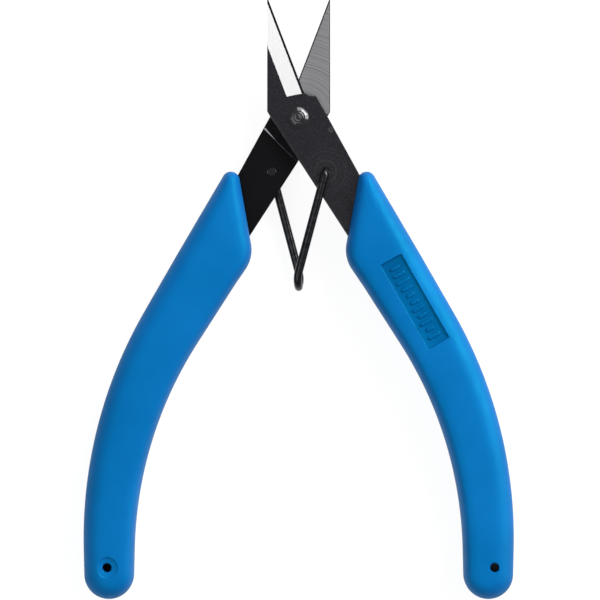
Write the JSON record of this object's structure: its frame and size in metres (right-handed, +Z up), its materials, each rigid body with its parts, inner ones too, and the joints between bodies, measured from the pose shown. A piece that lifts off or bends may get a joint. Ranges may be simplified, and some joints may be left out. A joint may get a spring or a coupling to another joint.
{
  "type": "flush cut pliers",
  "caption": "Small spring-opened flush cutter with two flat blanked arms on one rivet, bypass jaws, a hairpin return spring and moulded grips.",
  "frame": {"origin": "bottom centre of the open tool's box as it lies flat on its grips; the pivot is above the part of the plane towards the jaws", "axes": "+Y from the handles to the jaws, +Z up through the thickness, +X towards the front grip"},
  "size_m": [0.086, 0.1198, 0.0096],
  "materials": {
    "black_oxide_steel": "black oxide, ground bright on the bevel and the shear face",
    "rivet_steel": "turned and peened, glossy black oxide",
    "spring_wire": "glossy black drawn wire",
    "grip_rubber": "satin moulded elastomer"
  },
  "bodies": {
    "rear_half": {"rear_arm": "black_oxide_steel", "rear_grip": "grip_rubber", "pivot_rivet": "rivet_steel", "front_washer": "rivet_steel", "rear_washer": "rivet_steel"},
    "front_half": {"front_arm": "black_oxide_steel", "front_grip": "grip_rubber"},
    "spring_rear": {"spring_rear_leg": "spring_wire"},
    "spring_front": {"spring_front_leg": "spring_wire"}
  },
  "joints": [
    {"name": "pivot", "type": "hinge", "parent": "rear_half", "child": "front_half", "pos_m": [0, 0.03637, 0.0048], "axis": [0, 0, 1], "range_deg": [-29, 4], "stiffness_Nm_per_rad": 0.8},
    {"name": "spring_rear_hook", "type": "hinge", "parent": "rear_half", "child": "spring_rear", "pos_m": [-0.00535, 0.02552, 0.0048], "axis": [0, 0, 1], "range_deg": [-22, 3.5]},
    {"name": "spring_bend", "type": "hinge", "parent": "spring_rear", "child": "spring_front", "pos_m": [0, 0.00242, 0.0048], "axis": [0, 0, 1], "range_deg": [-2.5, 14.6]}
  ],
  "couplings": [
    {"joint": "spring_rear_hook", "follows": "pivot", "ratio": 0.7427},
    {"joint": "spring_bend", "follows": "pivot", "ratio": -0.4854}
  ]
}
